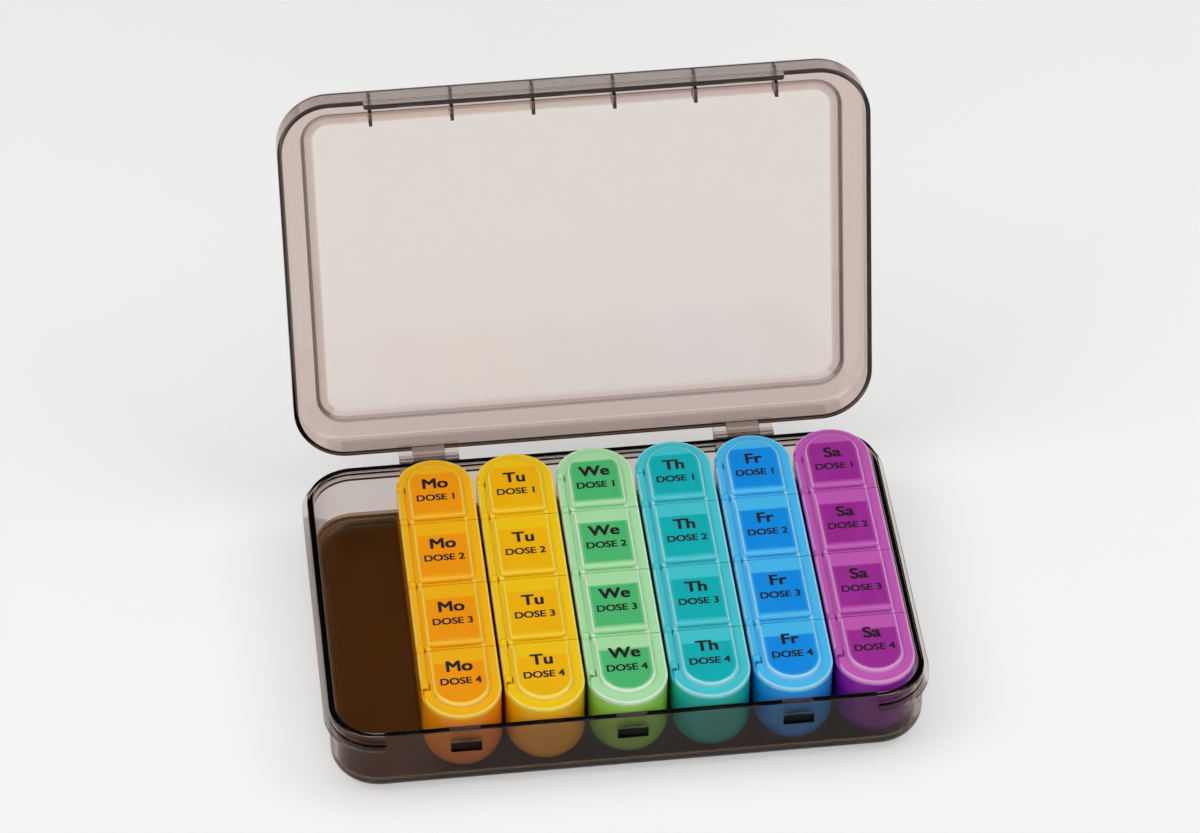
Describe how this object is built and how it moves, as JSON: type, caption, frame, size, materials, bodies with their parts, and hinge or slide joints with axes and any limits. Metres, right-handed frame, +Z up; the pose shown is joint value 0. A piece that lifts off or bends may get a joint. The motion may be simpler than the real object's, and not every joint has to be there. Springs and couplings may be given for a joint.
{
  "type": "pill organizer",
  "caption": "Smoked translucent travel case with a hinged lid, holding coloured lift-out strips of pill compartments, each closed by its own small flip lid.",
  "frame": {"origin": "middle of the case's flat underside", "axes": "+X along the row of strips, -Y to the catch side, +Z up; the case lid stands open at rest"},
  "size_m": [0.178, 0.1624, 0.1362],
  "materials": {
    "smoke_base": "smoked translucent, polished mould finish",
    "smoke_lid": "smoked translucent, polished mould finish",
    "pin_steel": "drawn wire",
    "monday_plastic": "tinted translucent, polished mould finish",
    "tuesday_plastic": "tinted translucent, polished mould finish",
    "wednesday_plastic": "tinted translucent, polished mould finish",
    "thursday_plastic": "tinted translucent, polished mould finish",
    "friday_plastic": "tinted translucent, polished mould finish",
    "saturday_plastic": "tinted translucent, polished mould finish"
  },
  "bodies": {
    "base": {"case_base": "smoke_base", "case_hinge_pins": "pin_steel"},
    "case_lid": {"case_lid": "smoke_lid"},
    "monday_strip": {"monday_tray": "monday_plastic"},
    "monday_flip_1": {"monday_lid_1": "monday_plastic"},
    "monday_flip_2": {"monday_lid_2": "monday_plastic"},
    "monday_flip_3": {"monday_lid_3": "monday_plastic"},
    "monday_flip_4": {"monday_lid_4": "monday_plastic"},
    "tuesday_strip": {"tuesday_tray": "tuesday_plastic"},
    "tuesday_flip_1": {"tuesday_lid_1": "tuesday_plastic"},
    "tuesday_flip_2": {"tuesday_lid_2": "tuesday_plastic"},
    "tuesday_flip_3": {"tuesday_lid_3": "tuesday_plastic"},
    "tuesday_flip_4": {"tuesday_lid_4": "tuesday_plastic"},
    "wednesday_strip": {"wednesday_tray": "wednesday_plastic"},
    "wednesday_flip_1": {"wednesday_lid_1": "wednesday_plastic"},
    "wednesday_flip_2": {"wednesday_lid_2": "wednesday_plastic"},
    "wednesday_flip_3": {"wednesday_lid_3": "wednesday_plastic"},
    "wednesday_flip_4": {"wednesday_lid_4": "wednesday_plastic"},
    "thursday_strip": {"thursday_tray": "thursday_plastic"},
    "thursday_flip_1": {"thursday_lid_1": "thursday_plastic"},
    "thursday_flip_2": {"thursday_lid_2": "thursday_plastic"},
    "thursday_flip_3": {"thursday_lid_3": "thursday_plastic"},
    "thursday_flip_4": {"thursday_lid_4": "thursday_plastic"},
    "friday_strip": {"friday_tray": "friday_plastic"},
    "friday_flip_1": {"friday_lid_1": "friday_plastic"},
    "friday_flip_2": {"friday_lid_2": "friday_plastic"},
    "friday_flip_3": {"friday_lid_3": "friday_plastic"},
    "friday_flip_4": {"friday_lid_4": "friday_plastic"},
    "saturday_strip": {"saturday_tray": "saturday_plastic"},
    "saturday_flip_1": {"saturday_lid_1": "saturday_plastic"},
    "saturday_flip_2": {"saturday_lid_2": "saturday_plastic"},
    "saturday_flip_3": {"saturday_lid_3": "saturday_plastic"},
    "saturday_flip_4": {"saturday_lid_4": "saturday_plastic"}
  },
  "joints": [
    {"name": "case_lid_hinge", "type": "hinge", "parent": "base", "child": "case_lid", "pos_m": [0, 0.0622, 0.0187], "axis": [-1, 0, 0], "range_deg": [-105, 0]},
    {"name": "monday_lift", "type": "slide", "parent": "base", "child": "monday_strip", "axis": [0, 0, 1], "range_m": [0, 0.025]},
    {"name": "monday_flip_1_hinge", "type": "hinge", "parent": "monday_strip", "child": "monday_flip_1", "pos_m": [-0.0591, 0.0405, 0.02625], "axis": [0, -1, 0], "range_deg": [0, 105]},
    {"name": "monday_flip_2_hinge", "type": "hinge", "parent": "monday_strip", "child": "monday_flip_2", "pos_m": [-0.0591, 0.0135, 0.02625], "axis": [0, -1, 0], "range_deg": [0, 105]},
    {"name": "monday_flip_3_hinge", "type": "hinge", "parent": "monday_strip", "child": "monday_flip_3", "pos_m": [-0.0591, -0.0135, 0.02625], "axis": [0, -1, 0], "range_deg": [0, 105]},
    {"name": "monday_flip_4_hinge", "type": "hinge", "parent": "monday_strip", "child": "monday_flip_4", "pos_m": [-0.0591, -0.0405, 0.02625], "axis": [0, -1, 0], "range_deg": [0, 105]},
    {"name": "tuesday_lift", "type": "slide", "parent": "base", "child": "tuesday_strip", "axis": [0, 0, 1], "range_m": [0, 0.025]},
    {"name": "tuesday_flip_1_hinge", "type": "hinge", "parent": "tuesday_strip", "child": "tuesday_flip_1", "pos_m": [-0.0348, 0.0405, 0.02625], "axis": [0, -1, 0], "range_deg": [0, 105]},
    {"name": "tuesday_flip_2_hinge", "type": "hinge", "parent": "tuesday_strip", "child": "tuesday_flip_2", "pos_m": [-0.0348, 0.0135, 0.02625], "axis": [0, -1, 0], "range_deg": [0, 105]},
    {"name": "tuesday_flip_3_hinge", "type": "hinge", "parent": "tuesday_strip", "child": "tuesday_flip_3", "pos_m": [-0.0348, -0.0135, 0.02625], "axis": [0, -1, 0], "range_deg": [0, 105]},
    {"name": "tuesday_flip_4_hinge", "type": "hinge", "parent": "tuesday_strip", "child": "tuesday_flip_4", "pos_m": [-0.0348, -0.0405, 0.02625], "axis": [0, -1, 0], "range_deg": [0, 105]},
    {"name": "wednesday_lift", "type": "slide", "parent": "base", "child": "wednesday_strip", "axis": [0, 0, 1], "range_m": [0, 0.025]},
    {"name": "wednesday_flip_1_hinge", "type": "hinge", "parent": "wednesday_strip", "child": "wednesday_flip_1", "pos_m": [-0.0105, 0.0405, 0.02625], "axis": [0, -1, 0], "range_deg": [0, 105]},
    {"name": "wednesday_flip_2_hinge", "type": "hinge", "parent": "wednesday_strip", "child": "wednesday_flip_2", "pos_m": [-0.0105, 0.0135, 0.02625], "axis": [0, -1, 0], "range_deg": [0, 105]},
    {"name": "wednesday_flip_3_hinge", "type": "hinge", "parent": "wednesday_strip", "child": "wednesday_flip_3", "pos_m": [-0.0105, -0.0135, 0.02625], "axis": [0, -1, 0], "range_deg": [0, 105]},
    {"name": "wednesday_flip_4_hinge", "type": "hinge", "parent": "wednesday_strip", "child": "wednesday_flip_4", "pos_m": [-0.0105, -0.0405, 0.02625], "axis": [0, -1, 0], "range_deg": [0, 105]},
    {"name": "thursday_lift", "type": "slide", "parent": "base", "child": "thursday_strip", "axis": [0, 0, 1], "range_m": [0, 0.025]},
    {"name": "thursday_flip_1_hinge", "type": "hinge", "parent": "thursday_strip", "child": "thursday_flip_1", "pos_m": [0.0138, 0.0405, 0.02625], "axis": [0, -1, 0], "range_deg": [0, 105]},
    {"name": "thursday_flip_2_hinge", "type": "hinge", "parent": "thursday_strip", "child": "thursday_flip_2", "pos_m": [0.0138, 0.0135, 0.02625], "axis": [0, -1, 0], "range_deg": [0, 105]},
    {"name": "thursday_flip_3_hinge", "type": "hinge", "parent": "thursday_strip", "child": "thursday_flip_3", "pos_m": [0.0138, -0.0135, 0.02625], "axis": [0, -1, 0], "range_deg": [0, 105]},
    {"name": "thursday_flip_4_hinge", "type": "hinge", "parent": "thursday_strip", "child": "thursday_flip_4", "pos_m": [0.0138, -0.0405, 0.02625], "axis": [0, -1, 0], "range_deg": [0, 105]},
    {"name": "friday_lift", "type": "slide", "parent": "base", "child": "friday_strip", "axis": [0, 0, 1], "range_m": [0, 0.025]},
    {"name": "friday_flip_1_hinge", "type": "hinge", "parent": "friday_strip", "child": "friday_flip_1", "pos_m": [0.0381, 0.0405, 0.02625], "axis": [0, -1, 0], "range_deg": [0, 105]},
    {"name": "friday_flip_2_hinge", "type": "hinge", "parent": "friday_strip", "child": "friday_flip_2", "pos_m": [0.0381, 0.0135, 0.02625], "axis": [0, -1, 0], "range_deg": [0, 105]},
    {"name": "friday_flip_3_hinge", "type": "hinge", "parent": "friday_strip", "child": "friday_flip_3", "pos_m": [0.0381, -0.0135, 0.02625], "axis": [0, -1, 0], "range_deg": [0, 105]},
    {"name": "friday_flip_4_hinge", "type": "hinge", "parent": "friday_strip", "child": "friday_flip_4", "pos_m": [0.0381, -0.0405, 0.02625], "axis": [0, -1, 0], "range_deg": [0, 105]},
    {"name": "saturday_lift", "type": "slide", "parent": "base", "child": "saturday_strip", "axis": [0, 0, 1], "range_m": [0, 0.025]},
    {"name": "saturday_flip_1_hinge", "type": "hinge", "parent": "saturday_strip", "child": "saturday_flip_1", "pos_m": [0.0624, 0.0405, 0.02625], "axis": [0, -1, 0], "range_deg": [0, 105]},
    {"name": "saturday_flip_2_hinge", "type": "hinge", "parent": "saturday_strip", "child": "saturday_flip_2", "pos_m": [0.0624, 0.0135, 0.02625], "axis": [0, -1, 0], "range_deg": [0, 105]},
    {"name": "saturday_flip_3_hinge", "type": "hinge", "parent": "saturday_strip", "child": "saturday_flip_3", "pos_m": [0.0624, -0.0135, 0.02625], "axis": [0, -1, 0], "range_deg": [0, 105]},
    {"name": "saturday_flip_4_hinge", "type": "hinge", "parent": "saturday_strip", "child": "saturday_flip_4", "pos_m": [0.0624, -0.0405, 0.02625], "axis": [0, -1, 0], "range_deg": [0, 105]}
  ]
}
